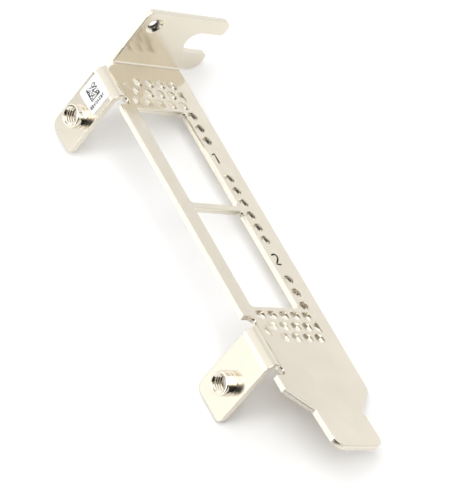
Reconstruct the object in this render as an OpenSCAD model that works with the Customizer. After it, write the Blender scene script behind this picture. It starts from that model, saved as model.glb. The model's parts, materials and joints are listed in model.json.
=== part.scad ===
// Low-profile expansion-slot bracket for a card with two module cages side by side.
// One folded sheet: a plate with two windows and vent holes, a tongue at the foot, a slotted
// screw tab folded outwards at the head, and two mounting tabs folded inwards on the left,
// each with a tapped collar drawn out of the sheet. An adhesive label sits on the upper tab.
// The bracket is drawn flat side by side with its plate in X-Y, then laid down as it comes to
// rest on a table: on the lower tab's end, the shoulder of the plate and the screw tab's corner.

/* [Sheet] */
// Sheet thickness
sheet_t = 1.0; // [0.8:0.05:1.2]
// Inside radius of the two mounting-tab bends
bend_r = 1.0; // [0.5:0.1:1.5]
// Inside radius of the screw-tab bend
screw_bend_r = 0.35; // [0.2:0.05:0.8]

/* [Plate] */
// Width of the plate across the slot
plate_w = 18.42; // [15:0.01:25]
// Length from the screw tab's top face to the tongue's tip
overall_l = 79.2; // [75:0.1:125]
// Straight left edge: from the head down to where the shoulder taper starts
shoulder_v = 67.1; // [62:0.1:115]
// Height of the shoulder taper
taper_h = 3.85; // [2:0.05:6]
// Radius where the right edge turns into the taper
shoulder_r = 1.9; // [0.5:0.1:3]
// Radius where the taper turns into the tongue on the right
notch_r = 1.5; // [0.5:0.1:3]
// Small radius on the left shoulder corner
corner_r = 0.25; // [0.1:0.05:1]
// Upper tab's upper edge below the edge of the head
head_step = 0.2; // [0:0.05:0.5]

/* [Tongue] */
// Width of the tongue
tongue_w = 10.19; // [8:0.01:12]
// Radius of the tongue's tip corners
tongue_r = 2.0; // [0.5:0.1:4]
// Outward set of the tongue, in degrees
tongue_set = 3; // [0:0.5:6]
// End of the shoulder taper to the line where the tongue is set
tongue_line = 0.6; // [0.2:0.1:2]

/* [Windows] */
// Window width across the plate
port_w = 10.65; // [8:0.05:12]
// Window length along the plate
port_l = 19.9; // [10:0.1:22]
// Bar left between the windows
port_bar = 1.15; // [0.8:0.05:3]
// Left edge of the plate to the windows
port_x = 2.95; // [2.5:0.05:5]
// Head of the plate to the first window
port_v = 10.05; // [9:0.05:14]
// Window corner radius
port_r = 0.6; // [0.2:0.1:1.5]

/* [Vents] */
// Pitch of the vent holes along a row
vent_pitch = 2.55; // [2:0.05:4]
// Width of a vent hole across its flats
vent_af = 1.77; // [1:0.01:2.5]
// Web left between a vent hole and a window
vent_web = 0.75; // [0.5:0.05:1.5]
// Width of a hole in the side column across its flats
side_af = 1.62; // [1:0.01:2.5]
// Pitch of the side column's end groups
side_pitch = 2.65; // [2:0.05:4]
// Side column to the right edge of the plate
side_edge = 3.37; // [2.5:0.01:5]
// End of a window to the first hole of the side column, inwards
side_in = 0.65; // [0.3:0.05:1]
// Side column to the nearest hole of the outer row
side_gap = 0.8; // [0.4:0.05:1.2]
// Right side of the cut-off hole inside the side column's right flats
side_cut = 0.1; // [0:0.05:0.3]
// Share of a hole's radius that the row next to a window keeps towards the window
row_share = 0.7; // [0.5:0.05:1]
// Slit hole by the bends: how many rows it lies from the row next to a window
slit_rows = 1.45; // [1.2:0.05:1.6]
// Slit hole: middle of its hexagon to the row's first hole, to the left
slit_off = 0.25; // [0.1:0.05:0.5]
// Slit hole: its left side to the row's first hole
slit_left = 1.27; // [1:0.01:1.4]
// Slit hole: its width
slit_w = 1.2; // [0.8:0.05:1.3]

/* [Mounting tabs] */
// Upper tab: head of the plate to its upper edge
top_tab_v = 1.0; // [0.5:0.05:3]
// Upper tab width
top_tab_w = 6.55; // [5:0.05:9]
// Upper tab depth below the plate's outer face
top_tab_d = 14.05; // [10:0.05:18]
// Lower tab: head of the plate to its upper edge
low_tab_v = 54.9; // [50:0.05:100]
// Lower tab width
low_tab_w = 7.5; // [5:0.05:9]
// Lower tab depth below the plate's outer face
low_tab_d = 14.35; // [10:0.05:18]
// Radius of the tabs' end corners on the side of the head
tab_r = 1.5; // [0.5:0.1:3]
// Radius of the tabs' end corners on the side of the foot
tab_foot_r = 0.9; // [0.5:0.1:3]
// Width of the relief slots beside the tabs
relief_w = 1.95; // [1:0.05:3]
// How far the relief slots run past the bend
relief_over = 0.12; // [0.05:0.01:0.5]
// Depth of the notch between the upper tab's bend and the screw tab
notch_d = 0.9; // [0.5:0.1:2]
// Width of that notch at the head's edge
notch_w = 1.2; // [0.5:0.1:2]
// Tip of that notch to the inner line of the bend
notch_tip = 0.4; // [0.2:0.05:0.8]
// Lean of that notch's steep side
notch_lean = 0.15; // [0.05:0.05:0.4]
// Set-back of the left edge where the punches for the tabs cut it
edge_step = 0.06; // [0.02:0.01:0.2]
// How far that set-back runs past the relief slots
edge_step_l = 1.7; // [0.5:0.1:4]

/* [Tapped collars] */
// Nominal thread diameter
thread_d = 3.0; // [2:0.5:4]
// Outside diameter of the collar
collar_d = 3.9; // [3.5:0.05:6]
// Collar height above the tab's outer face
collar_h = 1.85; // [0.5:0.05:3]
// Rounding of the collar's rim
collar_round = 0.2; // [0.05:0.05:0.4]
// Height of the ring left by the drawing die above the tab
collar_ring_h = 0.75; // [0.3:0.05:1.5]
// Depth of that ring
collar_ring_d = 0.1; // [0.02:0.01:0.2]
// Lead at the bore's mouth
bore_lead = 0.1; // [0.05:0.01:0.15]
// Rounding of the drawn-in sheet at the bore's entry
collar_entry_r = 0.4; // [0.1:0.05:0.6]
// Collar axis to the tabs' free ends
collar_end = 5.4; // [3.5:0.05:8]
// Collar axes off the middle of their tabs, towards the foot
collar_off = 0.2; // [-0.5:0.01:0.5]

/* [Screw tab] */
// Depth of the screw tab out from the plate's outer face
screw_tab_d = 11.3; // [9:0.1:14]
// Left edge of the plate to the screw tab
screw_tab_x = 3.65; // [2.5:0.05:6]
// How far the screw tab runs past the plate's right edge
screw_tab_over = 3.4; // [2:0.01:4]
// Width of the screw slot
slot_w = 4.42; // [3.5:0.01:5]
// Screw slot centre line out from the plate's outer face
slot_z = 6.15; // [5:0.05:8]
// Screw tab's right end to the closed end of the slot
slot_l = 6.5; // [4:0.1:9]
// Radius of the lower prong's bottom corner
prong_r = 1.9; // [0.5:0.1:2.5]
// Radius of the upper prong's top corner
prong_top_r = 1.2; // [0.3:0.1:1.5]
// Radius of the prongs' corners at the slot's mouth
mouth_r = 0.6; // [0.2:0.1:1]
// Radius of the screw tab's left corner
screw_tab_r = 1.0; // [0.3:0.1:2]
// Pilot hole in the screw tab, diameter
pilot_d = 1.7; // [1:0.1:2.5]
// Pilot hole countersink, diameter
pilot_sink_d = 3.0; // [2:0.1:4]
// Pilot hole countersink, depth
pilot_sink_h = 0.4; // [0.1:0.05:0.6]
// Pilot hole in from the screw tab's left edge and outer end
pilot_in = 2.75; // [2:0.05:4]

/* [Label] */
// Label side length
label_w = 5.0; // [3:0.1:6]
// Label thickness
label_t = 0.1; // [0.05:0.01:0.2]
// Label's free edge to the tab's free end
label_end = 7.9; // [6:0.05:9]
// Label's upper edge to the tab's upper edge
label_gap = 0.6; // [0.2:0.05:1.5]
// Radius of the label's corners
label_r = 0.3; // [0.1:0.05:0.8]

/* [Hidden] */
$fn = 96;
eps = 0.01;
// how far a cutting shape reaches past what it cuts, in mm and as a share of a rounding
clear = 1;
round_clear = 0.3;
bend_out = bend_r + sheet_t;
head_v = top_tab_v - head_step;
screw_bend_out = screw_bend_r + sheet_t;
plate_l = overall_l - sheet_t;
screw_tab_end = plate_w + screw_tab_over;
tongue_x = (plate_w - tongue_w) / 2;
tongue_bend_v = shoulder_v + taper_h + tongue_line;
taper_a = atan(taper_h / tongue_x);
mid_v = port_v + port_l + port_bar / 2;
vent_row = vent_pitch * sqrt(3) / 2;
vent_r = vent_af / sqrt(3);
side_r = side_af / sqrt(3);
side_x = plate_w - side_edge;
vent_x = side_x - side_gap - 4 * vent_pitch;
keep_right = side_x + side_af / 2 - side_cut;
row_a = port_v - vent_web - vent_r * row_share;
relief_x = bend_out + relief_over;
top_tab_end = top_tab_v + top_tab_w;
low_tab_end = low_tab_v + low_tab_w;
collar_r = collar_d / 2;
bore_r = thread_d / 2;
label_flat = top_tab_d - bend_out - label_end;
label_turn = (label_w - label_flat) / bend_out * 180 / PI;

// ---- where the bracket rests ----
function unit(v) = v / norm(v);
function up(v) = v[2] < 0 ? -v : v;
// lowest point of the lower prong's corner for a floor with the outward normal n
function prong_touch(n) =
    let (s = norm([n[0], n[2]]))
    [screw_tab_end - prong_r - prong_r * n[0] / s, 0,
     screw_bend_r + prong_r - prong_r * n[2] / s];
shoulder_touch = [plate_w, -shoulder_v + shoulder_r * tan(taper_a / 2), -sheet_t];
tab_touch = [sheet_t, -low_tab_end + tab_foot_r, -low_tab_d];
function floor_normal(n, k) =
    k == 0 ? n
    : floor_normal(
        up(unit(cross(shoulder_touch - prong_touch(n), tab_touch - prong_touch(n)))), k - 1);
rest_guess = [-0.6, 0, 0.8];
rest_tries = 8;
rest_z = floor_normal(rest_guess, rest_tries);
rest_y = unit([0, 1, 0] - rest_z * rest_z[1]);
rest_x = cross(rest_y, rest_z);
plate_mid = [plate_w / 2, (sheet_t - plate_l) / 2, 0];

module laid_down() {
    multmatrix([
        [rest_x[0], rest_x[1], rest_x[2], -rest_x * plate_mid],
        [rest_y[0], rest_y[1], rest_y[2], -rest_y * plate_mid],
        [rest_z[0], rest_z[1], rest_z[2], -rest_z * prong_touch(rest_z)],
        [0, 0, 0, 1]
    ]) children();
}

// ---- 2-D helpers ----
// what a rounding of radius r takes off the corner at p between edges that leave it
// in the directions a and b
module round_off(p, a, b, r) {
    half = abs(a - b) > 180 ? (360 - abs(a - b)) / 2 : abs(a - b) / 2;
    mid = abs(a - b) > 180 ? (a + b) / 2 + 180 : (a + b) / 2;
    run = r / tan(half);
    centre = p + [cos(mid), sin(mid)] * r / sin(half);
    difference() {
        polygon([
            p - [cos(mid), sin(mid)] * r * round_clear,
            p + [cos(a), sin(a)] * run,
            centre,
            p + [cos(b), sin(b)] * run
        ]);
        translate(centre) circle(r);
    }
}

// what fills the hollow corner at p between the same edges
module fill_in(p, a, b, r) {
    half = abs(a - b) / 2;
    mid = (a + b) / 2;
    run = r / tan(half);
    centre = p + [cos(mid), sin(mid)] * r / sin(half);
    difference() {
        polygon([p, p + [cos(a), sin(a)] * run, centre, p + [cos(b), sin(b)] * run]);
        translate(centre) circle(r);
    }
}

// rectangle from its upper left corner, with rounded corners
module soft_rect(x, v, w, l, r) {
    translate([x + r, -v - l]) square([w - 2 * r, l]);
    translate([x, -v - l + r]) square([w, l - 2 * r]);
    for (cx = [x + r, x + w - r], cy = [-v - r, -v - l + r])
        translate([cx, cy]) circle(r);
}

module hex_up(x, v) {
    translate([x, -v]) rotate(30) circle(vent_r, $fn = 6);
}

module hex_flat(x, v) {
    translate([x, -v]) circle(side_r, $fn = 6);
}

// one relief slot, cut from the left edge past the bend
module relief(v) {
    end_x = relief_x - relief_w / 2;
    translate([-clear, -v - relief_w]) square([end_x + clear, relief_w]);
    translate([end_x, -v - relief_w / 2]) circle(relief_w / 2);
}

module reliefs() {
    relief(top_tab_end);
    relief(low_tab_v - relief_w);
    relief(low_tab_end);
}

// V-shaped relief at the head, which straddles the end of the upper tab's bend
module head_notch() {
    tip_x = bend_out - notch_tip;
    polygon([
        [tip_x, -head_v - notch_d],
        [tip_x + notch_lean, -head_v + clear],
        [tip_x + notch_w, -head_v + clear],
        [tip_x + notch_w, -head_v]
    ]);
}

// vent field between the head and the first window; its twin is mirrored to the foot
module vent_field() {
    intersection() {
        for (i = [0:4]) hex_up(vent_x + i * vent_pitch, row_a);
        translate([0, -port_v + vent_web]) square([plate_w, port_v]);
    }
    for (i = [0:3]) hex_up(vent_x + (i + 0.5) * vent_pitch, row_a - vent_row);
    for (i = [1:4]) hex_up(vent_x + i * vent_pitch, row_a - 2 * vent_row);
    intersection() {
        hex_up(vent_x + 4.5 * vent_pitch, row_a - vent_row);
        translate([0, -port_v]) square([keep_right, port_v]);
    }
    intersection() {
        hex_up(vent_x - slit_off, row_a - slit_rows * vent_row);
        translate([vent_x - slit_left, -port_v]) square([slit_w, port_v]);
    }
}

module vents() {
    vent_field();
    translate([0, -2 * mid_v]) mirror([0, 1]) vent_field();
    for (i = [-2.5:2.5]) hex_flat(side_x, mid_v + i * vent_pitch);
    for (i = [0:2], s = [-1, 1])
        hex_flat(side_x, mid_v + s * (mid_v - port_v - side_in - i * side_pitch));
}

// ---- sheet parts ----
module plate_outline() {
    difference() {
        polygon([
            [screw_tab_x, -screw_bend_r],
            [screw_tab_x, -head_v],
            [bend_out, -head_v],
            [bend_out, -top_tab_end - relief_w / 2],
            [edge_step, -top_tab_end - relief_w / 2],
            [edge_step, -top_tab_end - relief_w - edge_step_l],
            [0, -top_tab_end - relief_w - edge_step_l],
            [0, -low_tab_v + relief_w + edge_step_l],
            [edge_step, -low_tab_v + relief_w + edge_step_l],
            [edge_step, -low_tab_v + relief_w / 2],
            [bend_out, -low_tab_v + relief_w / 2],
            [bend_out, -low_tab_end - relief_w / 2],
            [0, -low_tab_end - relief_w / 2],
            [0, -shoulder_v],
            [tongue_x, -shoulder_v - taper_h],
            [tongue_x, -plate_l],
            [tongue_x + tongue_w, -plate_l],
            [tongue_x + tongue_w, -shoulder_v - taper_h],
            [plate_w, -shoulder_v],
            [plate_w, -screw_bend_r]
        ]);
        round_off([0, -shoulder_v], 90, -taper_a, corner_r);
        round_off([plate_w, -shoulder_v], 90, 180 + taper_a, shoulder_r);
        round_off([tongue_x, -plate_l], 90, 0, tongue_r);
        round_off([tongue_x + tongue_w, -plate_l], 90, 180, tongue_r);
        reliefs();
        head_notch();
        for (k = [0, 1])
            soft_rect(port_x, port_v + k * (port_l + port_bar), port_w, port_l, port_r);
        vents();
    }
    fill_in([tongue_x + tongue_w, -shoulder_v - taper_h], taper_a, -90, notch_r);
}

// plate and tongue, with the tongue's outward set
module plate() {
    half = sheet_t * tan(tongue_set / 2);
    far_rise = (plate_l + clear - tongue_bend_v) * tan(tongue_set);
    intersection() {
        translate([-clear, 0, 0]) rotate([90, 0, 90]) linear_extrude(plate_w + 2 * clear)
            polygon([
                [-screw_bend_r, 0],
                [-tongue_bend_v, 0],
                [-plate_l - clear, far_rise],
                [-plate_l - clear, far_rise - sheet_t / cos(tongue_set)],
                [-tongue_bend_v - half, -sheet_t],
                [-screw_bend_r, -sheet_t]
            ]);
        translate([0, 0, -sheet_t - clear]) linear_extrude(sheet_t + far_rise + 2 * clear)
            plate_outline();
    }
}

// quarter ring of a bend, centred on its axis, in the quadrant that sx and sy point to
module quarter(r, sx, sy) {
    intersection() {
        difference() {
            circle(r + sheet_t);
            circle(r);
        }
        translate([sx < 0 ? -r - 2 * sheet_t : 0, sy < 0 ? -r - 2 * sheet_t : 0])
            square(r + 2 * sheet_t);
    }
}

// a mounting tab with its bend; above and below are the lengths of bend kept past its edges
module mounting_tab(v, w, d, above) {
    difference() {
        union() {
            translate([bend_out, -v + above, -bend_out]) rotate([90, 0, 0])
                linear_extrude(w + above + relief_w / 2) quarter(bend_r, -1, 1);
            rotate([0, 90, 0]) linear_extrude(sheet_t) difference() {
                translate([bend_out, -v - w]) square([d - bend_out, w]);
                round_off([d, -v], 180, -90, tab_r);
                round_off([d, -v - w], 180, 90, tab_foot_r);
            }
        }
        translate([0, 0, -bend_out]) linear_extrude(bend_out + clear) {
            reliefs();
            head_notch();
        }
        collar_place(v, w, d) {
            translate([0, 0, -sheet_t - clear]) cylinder(h = sheet_t + 2 * clear, r = bore_r);
            collar_entry();
        }
    }
    collar_place(v, w, d) collar();
}

// the collar's own frame: origin on the tab's outer face, +Z out of the mouth
module collar_place(v, w, d) {
    translate([0, -v - w / 2 - collar_off, -d + collar_end]) rotate([0, -90, 0]) children();
}

// wall of the collar, with a ring groove near its foot and a small lead at its mouth
module collar() {
    rotate_extrude() difference() {
        translate([bore_r, -sheet_t / 2]) square([collar_r - bore_r, collar_h + sheet_t / 2]);
        translate([collar_r, collar_ring_h]) rotate(45) square(sqrt(2) * collar_ring_d, center = true);
        translate([bore_r, collar_h]) rotate(45) square(sqrt(2) * bore_lead, center = true);
        round_off([collar_r, collar_h], -90, 180, collar_round);
    }
}

// what the rounded entry takes off the tab's inner face round the bore
module collar_entry() {
    translate([0, 0, -sheet_t]) rotate_extrude()
        round_off([bore_r, 0], 0, 90, collar_entry_r);
}

module screw_tab() {
    slot_x = screw_tab_end - slot_l + slot_w / 2;
    difference() {
        union() {
            translate([screw_tab_x, -screw_bend_r, screw_bend_r]) rotate([90, 0, 90])
                linear_extrude(plate_w - screw_tab_x) quarter(screw_bend_r, 1, -1);
            translate([0, sheet_t, 0]) rotate([90, 0, 0]) linear_extrude(sheet_t)
                difference() {
                    translate([screw_tab_x, screw_bend_r])
                        square([screw_tab_end - screw_tab_x, screw_tab_d - screw_bend_r]);
                    translate([slot_x, slot_z]) circle(slot_w / 2);
                    translate([slot_x, slot_z - slot_w / 2]) square([slot_l + clear, slot_w]);
                    round_off([screw_tab_x, screw_tab_d], 0, -90, screw_tab_r);
                    round_off([screw_tab_end, screw_tab_d], 180, -90, prong_top_r);
                    round_off([screw_tab_end, slot_z + slot_w / 2], 180, 90, mouth_r);
                    round_off([screw_tab_end, slot_z - slot_w / 2], 180, -90, mouth_r);
                    round_off([screw_tab_end, screw_bend_r], 180, 90, prong_r);
                }
        }
        translate([screw_tab_x + pilot_in, 0, screw_tab_d - pilot_in]) rotate([-90, 0, 0]) {
            translate([0, 0, -clear]) cylinder(h = sheet_t + 2 * clear, r = pilot_d / 2);
            translate([0, 0, -eps])
                cylinder(h = pilot_sink_h + eps, r1 = pilot_sink_d / 2, r2 = pilot_d / 2);
        }
    }
}

module bracket() {
    color("#d9d2c4") laid_down() {
        plate();
        screw_tab();
        mounting_tab(top_tab_v, top_tab_w, top_tab_d, 0);
        mounting_tab(low_tab_v, low_tab_w, low_tab_d, relief_w / 2);
    }
}

// outline that the label keeps, seen across the plate
module label_outline() {
    rise = (bend_out + label_t) * sin(label_turn);
    translate([bend_out, 0, 0]) rotate([0, -90, 0]) linear_extrude(bend_out + clear)
        soft_rect(
            -top_tab_d + label_end, top_tab_v + label_gap, label_flat + rise, label_w, label_r);
}

// flat part on the tab, and the part that follows the bend
module label_strip() {
    translate([0, -top_tab_v - label_gap, 0]) rotate([90, 0, 0]) linear_extrude(label_w) {
        translate([-label_t, -top_tab_d + label_end]) square([label_t, label_flat]);
        translate([bend_out, -bend_out]) intersection() {
            difference() {
                circle(bend_out + label_t);
                circle(bend_out);
            }
            polygon([
                [0, 0],
                [-2 * bend_out, 0],
                [-2 * bend_out, 2 * bend_out * tan(label_turn)]
            ]);
        }
    }
}

module label() {
    color("#fbfbf8") laid_down() intersection() {
        label_strip();
        label_outline();
    }
}

bracket();
label();
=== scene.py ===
"""Looks of a nickel-plated expansion-slot bracket, which lies on a pale table.

The folded sheet gets the rolled edges and torn walls that a punch leaves. Its two collars get
their thread, the plate its marked port numbers, and the label its paper and print.
"""

import json
import math

import bmesh
import bpy
from mathutils import Matrix, Vector
from mathutils.bvhtree import BVHTree
from mathutils.kdtree import KDTree


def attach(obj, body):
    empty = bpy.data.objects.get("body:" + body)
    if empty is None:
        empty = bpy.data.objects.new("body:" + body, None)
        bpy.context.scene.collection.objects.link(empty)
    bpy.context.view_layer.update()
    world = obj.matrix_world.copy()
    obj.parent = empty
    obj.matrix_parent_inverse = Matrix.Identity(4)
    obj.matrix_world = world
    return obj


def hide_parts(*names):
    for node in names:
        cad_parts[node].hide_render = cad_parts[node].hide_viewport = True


bl_info = {
    "name": "Slot bracket looks",
    "version": (1, 0, 0),
    "blender": (4, 5, 0),
    "location": "View3D > Sidebar > Slot bracket",
    "description": "Finishes a folded, nickel-plated slot bracket and sets it on a table",
    "category": "Object",
}

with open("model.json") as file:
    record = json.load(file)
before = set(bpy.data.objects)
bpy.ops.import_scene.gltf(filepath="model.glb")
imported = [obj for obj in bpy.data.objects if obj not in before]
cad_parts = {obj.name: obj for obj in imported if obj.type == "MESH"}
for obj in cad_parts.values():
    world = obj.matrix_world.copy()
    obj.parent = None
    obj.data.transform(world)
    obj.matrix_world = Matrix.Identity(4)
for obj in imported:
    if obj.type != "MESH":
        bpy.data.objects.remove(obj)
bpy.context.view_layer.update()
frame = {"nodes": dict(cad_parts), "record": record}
MOUNTS = {mount["name"]: mount for mount in frame["record"]["mounts"]}

MM = 0.001
SHEET = 1.0 * MM
# folds and cuts sharper than this are edges; the facets of a bend or a corner are not
SHARP = math.radians(32)
# points closer than this are one point, and faces that meet flatter than this are one face
WELD = 0.0005 * MM
FLAT = math.radians(0.3)
# a shorter step across the plate leaves a bevel no room
STEP = 0.065 * MM
# a cut longer than this tears below its burnished part
LONG_CUT = 30 * MM
COLLARS = ("upper_collar", "lower_collar")
COLLAR_R = 1.95 * MM
COLLAR_STEPS = 96
LABEL_T = 0.1 * MM
# names of the sheet's attributes: depth below the punched side, and painted shade in the pilot hole
TORN = "below_punched_side"
PILOT_HOLE_SHADE = "pilot_hole_painted_shade"
# the pilot hole's place in the screw tab, across the plate and out of it, and its reach
PILOT = Vector((6.4, 8.55)) * MM
PILOT_R = 1.0 * MM


# ---------------------------------------------------------------- places


def bracket_axes():
    """The bracket's own axes: X across the plate, Y up to its head, Z out of its outer face.

    The origin is where the plate's left edge, the screw tab's seat and the outer face meet.
    """
    card, ledge, outer = (MOUNTS[name] for name in ("card_seat", "ledge_seat", "outer_face"))
    across = Vector(card["axis"]).normalized()
    along = -Vector(ledge["axis"]).normalized()
    out = Vector(outer["axis"]).normalized()
    origin = (
        across * (across.dot(Vector(card["pos_m"])) - SHEET)
        + along * along.dot(Vector(ledge["pos_m"]))
        + out * out.dot(Vector(outer["pos_m"]))
    )
    turn = Matrix((across, along, out)).transposed().to_4x4()
    return Matrix.Translation(origin) @ turn


BRACKET = bracket_axes()


def on_plate(x, y):
    """A place on the plate's outer face, from its left edge and from the screw tab's seat."""
    return BRACKET @ Matrix.Translation((x, y, 0))


def on_tab(depth, y, lift):
    """A place over a mounting tab's outer face: X runs towards the plate, Y to the head."""
    return BRACKET @ Matrix.Translation((-lift, y, -depth)) @ Matrix.Rotation(-math.pi / 2, 4, "Y")


def in_collar(name):
    """A place at the middle of a collar's bore: its Z runs out of the collar's mouth."""
    mount = MOUNTS[name]
    mouth = -Vector(mount["axis"]).normalized()
    head = (BRACKET.to_3x3() @ Vector((0, 1, 0))).normalized()
    turn = Matrix((head, mouth.cross(head), mouth)).transposed().to_4x4()
    return Matrix.Translation(Vector(mount["pos_m"])) @ turn


# ---------------------------------------------------------------- nodes and meshes


def linear(hex_colour):
    """An sRGB hex value as linear RGBA."""
    channels = [int(hex_colour[i : i + 2], 16) / 255 for i in (1, 3, 5)]
    return [c / 12.92 if c <= 0.04045 else ((c + 0.055) / 1.055) ** 2.4 for c in channels] + [1.0]


def add(tree, kind, sockets=None, **settings):
    """Adds a node, with its settings and with a value or a link for each socket given."""
    made = tree.nodes.new(kind)
    for name, value in settings.items():
        setattr(made, name, value)
    for key, value in (sockets or {}).items():
        if isinstance(value, bpy.types.NodeSocket):
            tree.links.new(value, made.inputs[key])
        else:
            made.inputs[key].default_value = value
    return made


def new_material(name, **plain):
    """A material with one Principled shader, whose plain values are set on its own sockets."""
    material = bpy.data.materials.new(name)
    material.use_nodes = True
    tree = material.node_tree
    tree.nodes.clear()
    values = {key.replace("_", " "): value for key, value in plain.items()}
    shader = add(tree, "ShaderNodeBsdfPrincipled", values)
    add(tree, "ShaderNodeOutputMaterial", {"Surface": shader.outputs["BSDF"]})
    return material, tree, shader.inputs


def per_mm(size):
    """A noise scale for a grain of this many millimetres."""
    return 1 / (size * MM)


def link_object(name, mesh):
    made = bpy.data.objects.new(name, mesh)
    bpy.context.scene.collection.objects.link(made)
    return made


def place(obj, matrix, name):
    """Bakes the modifiers and the place into a plain mesh, on an object at the origin."""
    graph = bpy.context.evaluated_depsgraph_get()
    mesh = bpy.data.meshes.new_from_object(obj.evaluated_get(graph), depsgraph=graph)
    bpy.data.objects.remove(obj, do_unlink=True)
    mesh.transform(matrix)
    mesh.name = name
    return link_object(name, mesh)


def grown(tree, inputs, material, name, matrix, source=None):
    """Runs a Geometry Nodes tree on an object and leaves its result as a placed mesh."""
    obj = link_object(name, source or bpy.data.meshes.new(name))
    obj.data.materials.append(material)
    modifier = obj.modifiers.new("grow", "NODES")
    modifier.node_group = tree
    given = {**inputs, "Material": material}
    for item in tree.interface.items_tree:
        if item.in_out == "INPUT" and item.name in given:
            modifier[item.identifier] = given[item.name]
    piece = place(obj, matrix, name)
    if not piece.data.polygons:
        raise RuntimeError(f"{name} came out empty")
    return piece


def new_tree(name, **inputs):
    """A Geometry Nodes tree with its sizes and its material as named inputs."""
    tree = bpy.data.node_groups.new(name, "GeometryNodeTree")
    tree.interface.new_socket("Geometry", in_out="INPUT", socket_type="NodeSocketGeometry")
    for key, default in inputs.items():
        kind = "NodeSocketInt" if isinstance(default, int) else "NodeSocketFloat"
        label = key.replace("_", " ")
        socket = tree.interface.new_socket(label, in_out="INPUT", socket_type=kind)
        socket.default_value = default
    tree.interface.new_socket("Material", in_out="INPUT", socket_type="NodeSocketMaterial")
    tree.interface.new_socket("Geometry", in_out="OUTPUT", socket_type="NodeSocketGeometry")
    return tree, add(tree, "NodeGroupInput").outputs


def finish_tree(tree, geometry, material):
    """Ends a tree: real geometry, in its material."""
    real = add(tree, "GeometryNodeRealizeInstances", {"Geometry": geometry})
    coated = {"Geometry": real.outputs["Geometry"], "Material": material}
    coat = add(tree, "GeometryNodeSetMaterial", coated)
    add(tree, "NodeGroupOutput", {"Geometry": coat.outputs["Geometry"]})


def smooth_by_angle(obj, angle):
    for polygon in obj.data.polygons:
        polygon.use_smooth = True
    obj.data.set_sharp_from_angle(angle=angle)


# ---------------------------------------------------------------- materials


def nickel_plated_sheet(props):
    """Cold-rolled steel under bright nickel: a warm grey mirror, fogged by the rolled surface.

    The eye sees soft reflections, faint clouds in the gloss and a fine sandy grain.
    """
    material, tree, shader = new_material("nickel_plated_cold_rolled_steel", Metallic=1.0)
    spot = add(tree, "ShaderNodeTexCoord").outputs["Object"]
    clouds = add(
        tree, "ShaderNodeTexNoise", {"Vector": spot, "Scale": per_mm(6), "Detail": 4.0}
    ).outputs["Fac"]
    tint = add(
        tree,
        "ShaderNodeMix",
        {0: clouds, 6: [*props.nickel], 7: [*props.nickel_stain]},
        data_type="RGBA",
    )
    cloudiness = 0.03
    gloss = add(
        tree,
        "ShaderNodeMapRange",
        {
            "Value": clouds,
            "From Min": 0.3,
            "From Max": 0.7,
            "To Min": props.sheet_roughness - cloudiness,
            "To Max": props.sheet_roughness + cloudiness,
        },
    ).outputs["Result"]
    # where the skin is drawn in towards an edge the tool has polished it
    drawn_in = add(tree, "ShaderNodeBevel", {"Radius": props.draw_in}, samples=6).outputs["Normal"]
    facing = add(tree, "ShaderNodeNewGeometry").outputs["Normal"]
    flatness = add(
        tree, "ShaderNodeVectorMath", {0: drawn_in, 1: facing}, operation="DOT_PRODUCT"
    ).outputs["Value"]
    fog = add(
        tree,
        "ShaderNodeMapRange",
        {"Value": flatness, "From Min": 0.97, "To Min": props.edge_roughness, "To Max": gloss},
    )
    # the rolled grain is about 0.05 mm; it is drawn at 0.3 mm so that it shows at all
    grain = add(
        tree, "ShaderNodeTexNoise", {"Vector": spot, "Scale": per_mm(0.3), "Detail": 3.0}
    )
    relief = add(
        tree,
        "ShaderNodeBump",
        {
            "Height": grain.outputs["Fac"],
            "Strength": 0.35,
            "Distance": 0.01 * MM,
            "Normal": drawn_in,
        },
    )
    tree.links.new(tint.outputs[2], shader["Base Color"])
    tree.links.new(fog.outputs["Result"], shader["Roughness"])
    tree.links.new(relief.outputs["Normal"], shader["Normal"])
    return material


def nickel_plated_turned(props):
    """The same plating over the collars: smooth, so that it mirrors in crisp bands."""
    return new_material(
        "nickel_plated_turned_steel",
        Metallic=1.0,
        Base_Color=[*props.nickel],
        Roughness=props.edge_roughness,
    )[0]


def nickel_plated_shear_and_hole_shade(props):
    """The same plating over a punched wall.

    The quarter next to the punched side is burnished by the tool and mirrors sharply. Below it
    a long cut tore, and small facets glint there. The pilot hole's wall is painted shade.
    """
    material, tree, shader = new_material("nickel_plated_sheared_edge_and_hole_shade", Metallic=1.0)
    spot = add(tree, "ShaderNodeTexCoord").outputs["Object"]
    depth = add(tree, "ShaderNodeAttribute", attribute_name=TORN).outputs["Fac"]
    torn = add(
        tree,
        "ShaderNodeMapRange",
        {"Value": depth, "From Min": 0.25, "From Max": 0.4},
        interpolation_type="SMOOTHSTEP",
    ).outputs["Result"]
    gloss = add(
        tree,
        "ShaderNodeMapRange",
        {"Value": torn, "To Min": props.edge_roughness, "To Max": props.torn_roughness},
    )
    # torn grains are about 0.05 mm; they are drawn at 0.2 mm so that they show at all
    facets = add(
        tree, "ShaderNodeTexVoronoi", {"Vector": spot, "Scale": per_mm(0.2)}, distance="EUCLIDEAN"
    )
    height = add(
        tree, "ShaderNodeMath", {0: facets.outputs["Distance"], 1: torn}, operation="MULTIPLY"
    )
    relief = add(
        tree,
        "ShaderNodeBump",
        {"Height": height.outputs[0], "Strength": 1.0, "Distance": 0.05 * MM},
    )
    # painted shade: the pilot hole's wall is coloured dark brown, as the shade inside the hole
    hole_shade_mask = add(tree, "ShaderNodeAttribute", attribute_name=PILOT_HOLE_SHADE).outputs["Fac"]
    skin = add(
        tree,
        "ShaderNodeMix",
        {0: hole_shade_mask, 6: [*props.nickel], 7: [*props.pilot_hole_shade]},
        data_type="RGBA",
    )
    tree.links.new(skin.outputs[2], shader["Base Color"])
    tree.links.new(gloss.outputs["Result"], shader["Roughness"])
    tree.links.new(relief.outputs["Normal"], shader["Normal"])
    return material


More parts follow.
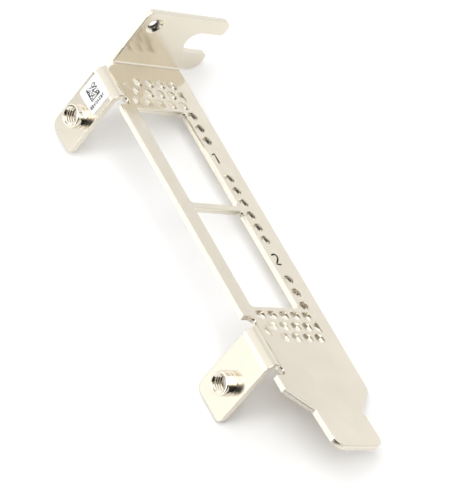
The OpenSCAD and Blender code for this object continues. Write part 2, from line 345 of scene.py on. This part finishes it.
def mottled(name, colours, grain, bump, **plain):
    """A matt material of two close tones, in a grain of this many millimetres."""
    material, tree, shader = new_material(name, **plain)
    spot = add(tree, "ShaderNodeTexCoord").outputs["Object"]
    noise = add(
        tree, "ShaderNodeTexNoise", {"Vector": spot, "Scale": per_mm(grain), "Detail": 4.0}
    ).outputs["Fac"]
    tone = add(
        tree,
        "ShaderNodeMix",
        {0: noise, 6: [*colours[0]], 7: [*colours[1]]},
        data_type="RGBA",
    )
    relief = add(tree, "ShaderNodeBump", {"Height": noise, "Strength": bump, "Distance": 0.01 * MM})
    tree.links.new(tone.outputs[2], shader["Base Color"])
    tree.links.new(relief.outputs["Normal"], shader["Normal"])
    return material


# ---------------------------------------------------------------- sheet


def cut_collars_off(bm):
    """Takes the collars' coarse walls off the sheet, and leaves a plain hole for each."""
    reach = COLLAR_R + 0.05 * MM
    for name in COLLARS:
        back = in_collar(name).inverted()
        near = {v for v in bm.verts if (back @ v.co).xy.length < reach}
        wall = [face for face in bm.faces if all(v in near for v in face.verts)]
        if not wall:
            raise RuntimeError(f"no walls found for {name}")
        bmesh.ops.delete(bm, geom=wall, context="FACES")
        rims = [edge for edge in bm.edges if edge.is_boundary]
        bmesh.ops.bridge_loops(bm, edges=rims)


def close_steps(bm):
    """Closes the steps in the outline that are too small for a bevel to run round.

    Facets of a rounding are as short, so an edge that runs any other way has to be shorter.
    """
    across = BRACKET.to_3x3() @ Vector((1, 0, 0))
    nearly_across = 0.9
    small = []
    for edge in bm.edges:
        along = edge.verts[1].co - edge.verts[0].co
        stepped = abs(along.dot(across)) > nearly_across * along.length
        if along.length < (STEP if stepped else STEP / 3):
            small.append(edge)
    bmesh.ops.collapse(bm, edges=small)


def punched_side(bm):
    """The faces of the punched side: all that run on from the plate without a sharp edge."""
    outer = MOUNTS["outer_face"]
    spot, up = Vector(outer["pos_m"]), Vector(outer["axis"])
    first = min(
        (face for face in bm.faces if face.normal.dot(up) > 0.999),
        key=lambda face: (face.calc_center_median() - spot).length,
    )
    found, waiting = {first}, [first]
    while waiting:
        for edge in waiting.pop().edges:
            if edge.calc_face_angle() > SHARP:
                continue
            for face in edge.link_faces:
                if face not in found:
                    found.add(face)
                    waiting.append(face)
    return found


def rim_of(side):
    """The edges where the punched side ends."""
    return {e for face in side for e in face.edges if len(side.intersection(e.link_faces)) == 1}


def outer_outline(side):
    """The edges round the outside of the punched side, without those of its holes."""
    rim = rim_of(side)
    start = min(rim, key=lambda edge: (BRACKET.inverted() @ edge.verts[0].co).y)
    found, waiting = {start}, [start]
    while waiting:
        for vert in waiting.pop().verts:
            for edge in vert.link_edges:
                if edge in rim and edge not in found:
                    found.add(edge)
                    waiting.append(edge)
    return found


def torn_walls(side):
    """The rims of the punched side as a tree of points, and which of them are long ones.

    The long cuts, round the sheet and round its windows, tear. The small vents shear cleanly.
    """
    rim = rim_of(side)
    points, long_ones = [], []
    while rim:
        found, waiting = set(), [rim.pop()]
        while waiting:
            edge = waiting.pop()
            found.add(edge)
            for vert in edge.verts:
                beside = rim.intersection(vert.link_edges)
                rim -= beside
                waiting.extend(beside)
        is_long = sum(edge.calc_length() for edge in found) > LONG_CUT
        for vert in {vert for edge in found for vert in edge.verts}:
            points.append(vert.co.copy())
            long_ones.append(is_long)
    tree = KDTree(len(points))
    for i, point in enumerate(points):
        tree.insert(point, i)
    tree.balance()
    return tree, long_ones


def in_pilot_hole(point):
    """Whether a point of the sheet is on the wall of the screw tab's pilot hole."""
    here = BRACKET.inverted() @ point
    off = Vector((here.x, here.z)) - PILOT
    slack = 0.05 * MM
    return here.y > -slack and off.length < PILOT_R


def merged_sheet(obj, hole_share, back_share):
    """A merged copy of the folded sheet, weighted for its bevel.

    With it come the punched side, as a tree to measure depth from, and that side's rims.
    """
    bm = bmesh.new()
    bm.from_mesh(obj.data)
    bmesh.ops.remove_doubles(bm, verts=bm.verts, dist=WELD)
    cut_collars_off(bm)
    bmesh.ops.dissolve_limit(
        bm, angle_limit=FLAT, verts=bm.verts, edges=bm.edges, delimit={"NORMAL"}
    )
    close_steps(bm)
    # a new layer drops every reference to an edge, so it comes before the edges are picked
    weight = bm.edges.layers.float.new("bevel_weight_edge")
    bm.normal_update()
    side = punched_side(bm)
    outline = outer_outline(side)
    rims = torn_walls(side)
    corners = [v.co.copy() for v in bm.verts]
    bm.verts.index_update()
    tree = BVHTree.FromPolygons(corners, [[v.index for v in face.verts] for face in side])
    for face in bm.faces:
        cut = any(not side.isdisjoint(edge.link_faces) for edge in face.edges)
        # the pilot hole's wall takes the edge material, which paints shade into it
        in_pilot = in_pilot_hole(face.calc_center_median())
        face.material_index = int((cut and face not in side) or in_pilot)
    for edge in bm.edges:
        if edge in outline:
            edge[weight] = 1.0
        elif edge.calc_face_angle() > SHARP:
            punched = any(face in side for face in edge.link_faces)
            edge[weight] = hole_share if punched else back_share
    mesh = bpy.data.meshes.new("folded_sheet")
    bm.to_mesh(mesh)
    bm.free()
    return mesh, tree, rims


# ---------------------------------------------------------------- collars


def arc(centre, radius, start, end, steps=6):
    """Points of a rounding, in radius and height, between two angles in degrees."""
    angles = [math.radians(start + (end - start) * i / steps) for i in range(steps + 1)]
    return [(centre[0] + radius * math.cos(a), centre[1] + radius * math.sin(a)) for a in angles]


def collar_section(name, props):
    """The collar's section as (radius, height) points, from the tab's inner face round to it."""
    mount = MOUNTS[name]
    half = mount["dims"]["length_mm"] / 2 * MM
    bore = mount["dims"]["r_mm"] * MM
    mouth = -Vector(mount["axis"]).normalized()
    seat = (Vector(MOUNTS["card_seat"]["pos_m"]) - Vector(mount["pos_m"])).dot(mouth)
    face = seat + SHEET
    entry = -half - seat
    top = half + props.lead
    ring = face + props.ring_height
    # the foot is sunk this far into the sheet, so that the two leave no gap
    tuck = 0.04 * MM
    return [
        *arc((bore + entry, -half), entry, 270, 180),
        (bore, half),
        (bore + props.lead, top),
        *arc((COLLAR_R - props.rim, top - props.rim), props.rim, 90, 0),
        (COLLAR_R, ring + props.ring),
        (COLLAR_R - props.ring, ring),
        (COLLAR_R, ring - props.ring),
        *arc((COLLAR_R + props.foot, face + props.foot), props.foot, 180, 270),
        (COLLAR_R + props.foot, face - tuck),
        (bore + entry + tuck, seat + tuck),
    ]


def turned(section, steps):
    """A closed ring turned about Z from a closed section of (radius, height) points."""
    bm = bmesh.new()
    rings = []
    for i in range(steps):
        angle = math.tau * i / steps
        x, y = math.cos(angle), math.sin(angle)
        rings.append([bm.verts.new((r * x, r * y, z)) for r, z in section])
    count = len(section)
    for i, ring in enumerate(rings):
        after = rings[(i + 1) % steps]
        for j in range(count):
            k = (j + 1) % count
            bm.faces.new((ring[j], after[j], after[k], ring[k]))
    bmesh.ops.recalc_face_normals(bm, faces=bm.faces)
    mesh = bpy.data.meshes.new("turned")
    bm.to_mesh(mesh)
    bm.free()
    return mesh


def thread_tree():
    """A thread's ridge: a spiral inside a bore, swept with a blunt triangle."""
    tree, given = new_tree(
        "Thread ridge",
        Bore_radius=1.5 * MM,
        Depth=0.27 * MM,
        Foot=0.45 * MM,
        Crest=0.08 * MM,
        Pitch=0.5 * MM,
        Length=2.35 * MM,
    )
    turns = add(
        tree, "ShaderNodeMath", {0: given["Length"], 1: given["Pitch"]}, operation="DIVIDE"
    )
    # less than half of the depth, so that the foot of the ridge is sunk a little into the wall
    inward = 0.42
    inset = add(tree, "ShaderNodeMath", {0: given["Depth"], 1: inward}, operation="MULTIPLY")
    radius = add(
        tree,
        "ShaderNodeMath",
        {0: given["Bore radius"], 1: inset.outputs[0]},
        operation="SUBTRACT",
    )
    spiral = add(
        tree,
        "GeometryNodeCurveSpiral",
        {
            "Resolution": 48,
            "Rotations": turns.outputs[0],
            "Start Radius": radius.outputs[0],
            "End Radius": radius.outputs[0],
            "Height": given["Length"],
        },
    )
    upright = add(
        tree, "GeometryNodeSetCurveNormal", {"Curve": spiral.outputs["Curve"]}, mode="Z_UP"
    )
    profile = add(
        tree,
        "GeometryNodeCurvePrimitiveQuadrilateral",
        {"Bottom Width": given["Foot"], "Top Width": given["Crest"], "Offset": 0.0},
        mode="TRAPEZOID",
    )
    tree.links.new(given["Depth"], profile.inputs["Height"])
    # the ridge's foot is turned to lie along the bore's wall, with its crest inwards
    inwards = add(
        tree,
        "GeometryNodeTransform",
        {"Geometry": profile.outputs["Curve"], "Rotation": (0.0, 0.0, -math.pi / 2)},
    )
    swept = {
        "Curve": upright.outputs["Curve"],
        "Profile Curve": inwards.outputs["Geometry"],
        "Fill Caps": True,
    }
    ridge = add(tree, "GeometryNodeCurveToMesh", swept)
    middle = add(tree, "ShaderNodeMath", {0: given["Length"], 1: -0.5}, operation="MULTIPLY")
    sink = add(tree, "ShaderNodeCombineXYZ", {"Z": middle.outputs[0]})
    centred = add(
        tree,
        "GeometryNodeTransform",
        {"Geometry": ridge.outputs["Mesh"], "Translation": sink.outputs["Vector"]},
    )
    finish_tree(tree, centred.outputs["Geometry"], given["Material"])
    return tree


# ---------------------------------------------------------------- marks and print


def stroke_tree():
    """A drawn stroke: a flat ribbon that follows a curve."""
    tree, given = new_tree("Marked stroke", Width=0.28 * MM, Thickness=0.03 * MM)
    profile = add(
        tree,
        "GeometryNodeCurvePrimitiveQuadrilateral",
        {"Width": given["Width"], "Height": given["Thickness"]},
        mode="RECTANGLE",
    )
    upright = add(tree, "GeometryNodeSetCurveNormal", {"Curve": given["Geometry"]}, mode="Z_UP")
    swept = {
        "Curve": upright.outputs["Curve"],
        "Profile Curve": profile.outputs["Curve"],
        "Fill Caps": True,
    }
    ribbon = add(tree, "GeometryNodeCurveToMesh", swept)
    finish_tree(tree, ribbon.outputs["Mesh"], given["Material"])
    return tree


def print_tree():
    """Printed cells: a grid of squares, of which a seeded share is inked.

    Two sides can be inked solid, as on a square code, and columns can be left blank at a
    steady step, as between characters.
    """
    tree, given = new_tree(
        "Printed cells",
        Columns=10,
        Rows=10,
        Cell=0.2 * MM,
        Fill=0.97,
        Share=0.5,
        Solid_sides=0.0,
        Blank_every=1000.0,
        Seed=1,
    )

    def maths(operation, a, b=0.0):
        return add(tree, "ShaderNodeMath", {0: a, 1: b}, operation=operation).outputs[0]

    grid = add(
        tree,
        "GeometryNodeMeshGrid",
        {
            "Vertices X": given["Columns"],
            "Vertices Y": given["Rows"],
            "Size X": maths("MULTIPLY", given["Cell"], maths("SUBTRACT", given["Columns"], 1.0)),
            "Size Y": maths("MULTIPLY", given["Cell"], maths("SUBTRACT", given["Rows"], 1.0)),
        },
    )
    chance = add(
        tree,
        "FunctionNodeRandomValue",
        {"Probability": given["Share"], "Seed": given["Seed"]},
        data_type="BOOLEAN",
    ).outputs[3]
    # a grid's points run up one column after the other
    index = add(tree, "GeometryNodeInputIndex").outputs[0]
    column = maths("FLOOR", maths("DIVIDE", maths("ADD", index, 0.5), given["Rows"]))
    row = maths("SUBTRACT", index, maths("MULTIPLY", column, given["Rows"]))
    side = maths("LESS_THAN", maths("MINIMUM", column, row), 0.5)
    solid = maths("MULTIPLY", side, given["Solid sides"])
    in_step = maths("MODULO", maths("ADD", column, 1.0), given["Blank every"])
    inked = maths("MULTIPLY", maths("MAXIMUM", chance, solid), maths("GREATER_THAN", in_step, 0.5))
    # a cell stays just clear of its neighbours, so that each is a body of its own
    inked_side = maths("MULTIPLY", given["Cell"], given["Fill"])
    ink = 0.012 * MM
    size = add(tree, "ShaderNodeCombineXYZ", {"X": inked_side, "Y": inked_side, "Z": ink})
    cell = add(tree, "GeometryNodeMeshCube", {"Size": size.outputs["Vector"]})
    cells = add(
        tree,
        "GeometryNodeInstanceOnPoints",
        {"Points": grid.outputs["Mesh"], "Selection": inked, "Instance": cell.outputs["Mesh"]},
    )
    finish_tree(tree, cells.outputs["Instances"], given["Material"])
    return tree


# ---------------------------------------------------------------- properties


def length(name, description, default):
    return bpy.props.FloatProperty(
        name=name,
        description=description,
        default=default,
        min=0,
        subtype="DISTANCE",
        unit="LENGTH",
    )


def share(name, description, default):
    return bpy.props.FloatProperty(
        name=name, description=description, default=default, min=0, max=1, subtype="FACTOR"
    )


def angle(name, description, degrees):
    return bpy.props.FloatProperty(
        name=name, description=description, default=math.radians(degrees), subtype="ANGLE"
    )


def colour(name, description, hex_colour):
    return bpy.props.FloatVectorProperty(
        name=name,
        description=description,
        default=linear(hex_colour),
        size=4,
        min=0,
        max=1,
        subtype="COLOR",
    )


class SheetSettings(bpy.types.PropertyGroup):
    """Edges and finish of the folded sheet."""

    roll: length("Rolled edge", "Rounding of the outline on the punched side", 0.1 * MM)
    hole_roll: length("Rolled hole", "Rounding of the holes on that side", 0.06 * MM)
    burr: length("Back edge", "Rounding of the edges on the far side", 0.03 * MM)
    draw_in: length("Drawn-in skin", "How far from an edge the skin already turns", 0.2 * MM)
    nickel: colour("Nickel", "Colour of the plating", "#E8E1D3")
    nickel_stain: colour("Nickel, clouded", "Colour of the faint clouds in it", "#E3DBCA")
    # painted shade: the dark brown stands for the shade inside the pilot hole
    pilot_hole_shade: colour("Pilot hole shade", "Painted shade on the pilot hole's wall", "#4A4238")
    sheet_roughness: share("Sheet roughness", "Fog of the rolled faces", 0.18)
    edge_roughness: share("Edge roughness", "Fog of the burnished walls", 0.1)
    torn_roughness: share("Torn roughness", "Fog of the torn walls", 0.3)


class CollarSettings(bpy.types.PropertyGroup):
    """Sizes of the collars and their thread."""

    pitch: length("Pitch", "Pitch of the thread", 0.5 * MM)
    depth: length("Depth", "Depth of the thread", 0.27 * MM)
    lead: length("Lead", "Lead at the bore's mouth", 0.1 * MM)
    rim: length("Rim", "Rounding of the rim", 0.2 * MM)
    ring: length("Ring groove", "Depth of the ring groove round the collar", 0.1 * MM)
    ring_height: length("Ring height", "Height of the ring groove over the tab", 0.75 * MM)
    foot: length("Foot", "Hollow rounding where the collar leaves the tab", 0.1 * MM)


class MarkSettings(bpy.types.PropertyGroup):
    """Sizes and colour of the port numbers."""

    stroke: length("Stroke", "Width of the numbers' strokes", 0.32 * MM)
    thickness: length("Thickness", "Height of the mark through the plate's face", 0.03 * MM)
    mark: colour("Mark", "Colour of the marked numbers", "#0D0B0A")
    mark_worn: colour("Mark, worn", "Colour where the mark is thin", "#1A1715")


class LabelSettings(bpy.types.PropertyGroup):
    """Colours and print of the label."""

    paper: colour("Paper", "Colour of the paper", "#FBFBFA")
    paper_shade: colour("Paper, shaded", "Colour of the paper's mottle", "#F3F3F2")
    print_ink: colour("Ink", "Colour of the print", "#0B0B0D")
    print_thin: colour("Ink, thin", "Colour where the print is thin", "#1B1B1E")
    block_cell: length("Block cell", "Side of a cell in the print's block", 0.17 * MM)
    line_cell: length("Line cell", "Side of a cell in the print's line", 0.12 * MM)
    inked: share("Block's ink", "Share of the block's cells that hold ink", 0.52)
    line_inked: share("Line's ink", "Share of the line's cells that hold ink", 0.75)
    seed: bpy.props.IntProperty(name="Seed", description="Which cells hold ink", default=12, min=0)


class StageSettings(bpy.types.PropertyGroup):
    """Table, room and camera."""

    table: colour("Table", "Colour of the table top", "#FCFCFC")
    table_shade: colour("Table, shaded", "Faint mottle of the table top", "#F9F9F9")
    room: colour("Room", "Colour of the room beyond the lights", "#E6E6E6")
    room_glow: share("Room glow", "How bright that room is", 0.02)
    azimuth: angle("Azimuth", "Camera's turn round the table", 27.816)
    elevation: angle("Elevation", "Camera's height over the table", 56.884)
    roll: angle("Roll", "Camera's lean", -2.01)
    distance: length("Distance", "Camera to the point it looks at", 490.47 * MM)
    lens: bpy.props.FloatProperty(
        name="Lens", description="Focal length", default=228.83, min=1, unit="CAMERA"
    )


# ---------------------------------------------------------------- operators


class SLOTBRACKET_OT_sheet(bpy.types.Operator):
    """Build the folded sheet with its rolled edges, torn walls and plating"""

    bl_idname = "slotbracket.sheet"
    bl_label = "Folded sheet"

    def execute(self, context):
        props = context.scene.slot_bracket_sheet
        shares = (props.hole_roll / props.roll, props.burr / props.roll)
        mesh, side, (rims, long_ones) = merged_sheet(frame["nodes"]["bracket"], *shares)
        obj = link_object("folded_sheet_work", mesh)
        obj.data.materials.append(nickel_plated_sheet(props))
        obj.data.materials.append(nickel_plated_shear_and_hole_shade(props))
        smooth_by_angle(obj, math.pi)
        bevel = obj.modifiers.new("rolled edges", "BEVEL")
        bevel.limit_method = "WEIGHT"
        bevel.width = props.roll
        bevel.segments = 4
        bevel.material = 0
        bevel.use_clamp_overlap = True
        even = obj.modifiers.new("flat faces stay flat", "WEIGHTED_NORMAL")
        even.mode = "FACE_AREA"
        even.weight = 100
        even.keep_sharp = False
        piece = place(obj, Matrix.Identity(4), "folded_sheet")
        depth = piece.data.attributes.new(TORN, "FLOAT", "POINT")
        # marks the pilot hole's wall for its painted shade
        hole_shade_mask = piece.data.attributes.new(PILOT_HOLE_SHADE, "FLOAT", "POINT")
        for vertex, below, pilot_hole_painted_shade in zip(piece.data.vertices, depth.data, hole_shade_mask.data):
            if long_ones[rims.find(vertex.co)[1]]:
                below.value = side.find_nearest(vertex.co)[3] / SHEET
            pilot_hole_painted_shade.value = float(in_pilot_hole(vertex.co))
        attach(piece, "root")
        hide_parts("bracket")
        return {"FINISHED"}


# widths of the thread's ridge, as shares of its pitch
THREAD_FOOT = 0.9
THREAD_CREST = 0.16


class SLOTBRACKET_OT_collars(bpy.types.Operator):
    """Turn both collars and cut their thread"""

    bl_idname = "slotbracket.collars"
    bl_label = "Tapped collars"

    def execute(self, context):
        props = context.scene.slot_bracket_collar
        tree = thread_tree()
        steel = nickel_plated_turned(context.scene.slot_bracket_sheet)
        for name in COLLARS:
            mesh = turned(collar_section(name, props), COLLAR_STEPS)
            mesh.materials.append(steel)
            body = place(link_object("turned_work", mesh), in_collar(name), name)
            dims = MOUNTS[name]["dims"]
            sizes = {
                "Bore radius": dims["r_mm"] * MM,
                "Depth": props.depth,
                "Foot": THREAD_FOOT * props.pitch,
                "Crest": THREAD_CREST * props.pitch,
                "Pitch": props.pitch,
                "Length": dims["length_mm"] * MM - props.pitch / 2,
            }
            thread = grown(tree, sizes, steel, f"{name}_thread", in_collar(name))
            for piece in (body, thread):
                smooth_by_angle(piece, SHARP)
                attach(piece, "root")
        return {"FINISHED"}


# strokes of the port numbers, in mm from the plate's left edge and the screw tab's seat
NUMBERS = {
    "port_number_1": [(14.25, -19.12), (14.89, -18.81), (14.88, -19.81), (14.83, -20.85)],
    "port_number_2": [
        (14.32, -40.14),
        (14.7, -39.94),
        (15.08, -39.89),
        (15.41, -40.07),
        (15.47, -40.45),
        (15.31, -40.87),
        (14.85, -41.41),
        (14.39, -41.94),
        (14.91, -41.95),
        (15.41, -41.99),
    ],
}


class SLOTBRACKET_OT_numbers(bpy.types.Operator):
    """Mark the port numbers beside the windows"""

    bl_idname = "slotbracket.numbers"
    bl_label = "Port numbers"

    def execute(self, context):
        props = context.scene.slot_bracket_mark
        tree = stroke_tree()
        # surface mark on plating: a thin dark oxide, matt beside the nickel
        black = mottled(
            "dark_oxide_mark",
            (props.mark, props.mark_worn),
            0.15,
            0.1,
            Roughness=0.6,
            Specular_IOR_Level=0.2,
        )
        for name, points in NUMBERS.items():
            curve = bpy.data.curves.new(name, "CURVE")
            curve.dimensions = "3D"
            spline = curve.splines.new("POLY")
            spline.points.add(len(points) - 1)
            for point, (x, y) in zip(spline.points, points):
                point.co = (x * MM, y * MM, 0, 1)
            sizes = {"Width": props.stroke, "Thickness": props.thickness}
            piece = grown(tree, sizes, black, name, on_plate(0, 0), curve)
            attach(piece, "root")
        return {"FINISHED"}


# the print's parts: middle of each below the plate's outer face and below the seat, in mm
PRINT_PARTS = {
    "label_print_block": {
        "depth": 3.65,
        "y": -3.6,
        "Columns": 14,
        "Rows": 14,
        "Solid sides": 1.0,
    },
    "label_print_line": {
        "depth": 3.85,
        "y": -5.5,
        "Columns": 31,
        "Rows": 5,
        "Blank every": 4.0,
    },
}


class SLOTBRACKET_OT_label(bpy.types.Operator):
    """Finish the label's paper and print"""

    bl_idname = "slotbracket.label"
    bl_label = "Label"

    def execute(self, context):
        props = context.scene.slot_bracket_label
        label = frame["nodes"]["label"]
        label.data.materials.clear()
        # coated label paper: even white, with a faint tooth where the fibres lift the coating
        paper = mottled(
            "coated_label_paper", (props.paper, props.paper_shade), 0.2, 0.3, Roughness=0.55
        )
        label.data.materials.append(paper)
        tree = print_tree()
        # thermal-transfer wax: black, and a little glossier than the paper
        wax = mottled(
            "thermal_transfer_print", (props.print_ink, props.print_thin), 0.15, 0.1, Roughness=0.45
        )
        for name, part in PRINT_PARTS.items():
            block = "Solid sides" in part
            inputs = {
                **part,
                "Cell": props.block_cell if block else props.line_cell,
                "Share": props.inked if block else props.line_inked,
                "Seed": props.seed,
            }
            spot = on_tab(part["depth"] * MM, part["y"] * MM, LABEL_T)
            piece = grown(tree, inputs, wax, name, spot)
            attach(piece, "root")
        return {"FINISHED"}


# name, middle in metres, direction it faces, size in metres, brightness (1 shows as white)
LIGHTS = [
    ("ceiling_left_front", (-0.865, -0.825, 1.3), (0, 0, -1), (0.87, 0.85), 0.38),
    ("ceiling_left_centre", (-0.865, 0.025, 1.3), (0, 0, -1), (0.87, 0.85), 1.35),
    ("ceiling_left_back", (-0.865, 0.9, 1.3), (0, 0, -1), (0.87, 0.9), 1.15),
    ("ceiling_middle_front", (0, -0.825, 1.3), (0, 0, -1), (0.86, 0.85), 2.85),
    ("ceiling_middle_centre", (0, 0.025, 1.3), (0, 0, -1), (0.86, 0.85), 2.46),
    ("ceiling_middle_back", (0, 0.9, 1.3), (0, 0, -1), (0.86, 0.9), 1.08),
    ("ceiling_right_front", (0.865, -0.825, 1.3), (0, 0, -1), (0.87, 0.85), 1.06),
    ("ceiling_right_back", (0.865, 0.9, 1.3), (0, 0, -1), (0.87, 0.9), 0.95),
    ("left_1_low", (-1.3, -0.5, 0.225), (1, 0, 0), (0.8, 0.45), 0.1),
    ("left_2_low", (-1.3, 0.325, 0.225), (1, 0, 0), (0.35, 0.45), 2.92),
    ("left_2_high", (-1.3, 0.325, 0.875), (1, 0, 0), (0.35, 0.85), 3.6),
    ("left_3_low", (-1.3, 0.675, 0.225), (1, 0, 0), (0.35, 0.45), 1.3),
    ("left_3_high", (-1.3, 0.675, 0.875), (1, 0, 0), (0.35, 0.85), 2.58),
    ("left_4_low", (-1.3, 1.1, 0.225), (1, 0, 0), (0.5, 0.45), 0.1),
    ("left_4_high", (-1.3, 1.1, 0.875), (1, 0, 0), (0.5, 0.85), 1.4),
    ("back_left_low", (-0.75, 1.35, 0.225), (0, -1, 0), (1.1, 0.45), 1.39),
    ("back_left_high", (-0.75, 1.35, 0.875), (0, -1, 0), (1.1, 0.85), 1.5),
    ("back_middle_low", (0.2, 1.35, 0.225), (0, -1, 0), (0.8, 0.45), 1.23),
    ("back_middle_high", (0.2, 1.35, 0.875), (0, -1, 0), (0.8, 0.85), 1.3),
    ("back_right_low", (0.95, 1.35, 0.225), (0, -1, 0), (0.7, 0.45), 0.89),
    ("back_right_high", (0.95, 1.35, 0.875), (0, -1, 0), (0.7, 0.85), 1.01),
    ("right_front_low", (1.3, -0.85, 0.225), (-1, 0, 0), (0.8, 0.45), 0.87),
    ("right_front_high", (1.3, -0.85, 0.875), (-1, 0, 0), (0.8, 0.85), 2),
    ("right_centre_low", (1.3, -0.075, 0.225), (-1, 0, 0), (0.75, 0.45), 0.73),
    ("right_centre_high", (1.3, -0.075, 0.875), (-1, 0, 0), (0.75, 0.85), 1.28),
    ("right_back_low", (1.3, 0.825, 0.225), (-1, 0, 0), (1.05, 0.45), 0.76),
    ("right_back_high", (1.3, 0.825, 0.875), (-1, 0, 0), (1.05, 0.85), 1.07),
]


def set_lights(scene):
    """Soft panels overhead and round the table; the side of the camera stays dim."""
    for name, middle, facing, size, brightness in LIGHTS:
        light = bpy.data.lights.new(name, "AREA")
        light.shape = "RECTANGLE"
        light.size, light.size_y = size
        light.energy = brightness * math.pi * size[0] * size[1]
        lamp = bpy.data.objects.new(name, light)
        lamp.location = middle
        lamp.rotation_euler = Vector(facing).to_track_quat("-Z", "Y").to_euler()
        scene.collection.objects.link(lamp)


def set_world(scene, props):
    """A dim room round the table, so that the metal has something dark to mirror."""
    world = bpy.data.worlds.new("dim_room")
    world.use_nodes = True
    world.node_tree.nodes.clear()
    glow = add(
        world.node_tree,
        "ShaderNodeBackground",
        {"Color": [*props.room], "Strength": props.room_glow},
    )
    add(world.node_tree, "ShaderNodeOutputWorld", {"Surface": glow.outputs["Background"]})
    scene.world = world


CAMERA_AIM = Vector((-2.05, -0.9, 8.05)) * MM


def set_camera(scene, props):
    """A long lens that looks down on the bracket along its length."""
    camera = bpy.data.cameras.new("camera")
    camera.lens = props.lens
    camera.clip_start, camera.clip_end = 0.01, 10
    flat = math.cos(props.elevation)
    look = Vector(
        (
            math.sin(props.azimuth) * flat,
            math.cos(props.azimuth) * flat,
            -math.sin(props.elevation),
        )
    )
    eye = bpy.data.objects.new("camera", camera)
    eye.location = CAMERA_AIM - look * props.distance
    lean = Matrix.Rotation(props.roll, 3, look)
    eye.rotation_euler = (lean @ look.to_track_quat("-Z", "Y").to_matrix()).to_euler()
    scene.collection.objects.link(eye)
    scene.camera = eye


class SLOTBRACKET_OT_stage(bpy.types.Operator):
    """Set the table, the lights and the camera"""

    bl_idname = "slotbracket.stage"
    bl_label = "Table, lights and camera"

    def execute(self, context):
        props = context.scene.slot_bracket_stage
        mesh = bpy.data.meshes.new("table")
        half = 1.8
        corners = [(-half, -half, 0), (half, -half, 0), (half, half, 0), (-half, half, 0)]
        mesh.from_pydata(corners, [], [(0, 1, 2, 3)])
        table = link_object("table", mesh)
        # matt white table: plain, with nothing to draw the eye
        white = mottled(
            "matt_white_table", (props.table, props.table_shade), 40, 0.0, Roughness=0.7
        )
        table.data.materials.append(white)
        set_lights(context.scene)
        set_world(context.scene, props)
        set_camera(context.scene, props)
        context.scene.view_settings.view_transform = "Standard"
        return {"FINISHED"}


# ---------------------------------------------------------------- add-on


SETTINGS = {
    "slot_bracket_sheet": SheetSettings,
    "slot_bracket_collar": CollarSettings,
    "slot_bracket_mark": MarkSettings,
    "slot_bracket_label": LabelSettings,
    "slot_bracket_stage": StageSettings,
}
OPERATORS = [
    SLOTBRACKET_OT_sheet,
    SLOTBRACKET_OT_collars,
    SLOTBRACKET_OT_numbers,
    SLOTBRACKET_OT_label,
    SLOTBRACKET_OT_stage,
]


class SLOTBRACKET_PT_panel(bpy.types.Panel):
    """Lists the bracket's pieces and its stage"""

    bl_idname = "SLOTBRACKET_PT_panel"
    bl_label = "Slot bracket"
    bl_space_type = "VIEW_3D"
    bl_region_type = "UI"
    bl_category = "Slot bracket"

    def draw(self, context):
        for operator in OPERATORS:
            self.layout.operator(operator.bl_idname)


def register():
    for kind in [*SETTINGS.values(), *OPERATORS, SLOTBRACKET_PT_panel]:
        bpy.utils.register_class(kind)
    for name, kind in SETTINGS.items():
        setattr(bpy.types.Scene, name, bpy.props.PointerProperty(type=kind))


def unregister():
    for name in SETTINGS:
        delattr(bpy.types.Scene, name)
    for kind in [SLOTBRACKET_PT_panel, *reversed(OPERATORS), *reversed(SETTINGS.values())]:
        bpy.utils.unregister_class(kind)


def main():
    register()
    bpy.ops.slotbracket.sheet()
    bpy.ops.slotbracket.collars()
    bpy.ops.slotbracket.numbers()
    bpy.ops.slotbracket.label()
    bpy.ops.slotbracket.stage()


if __name__ == "__main__":
    main()
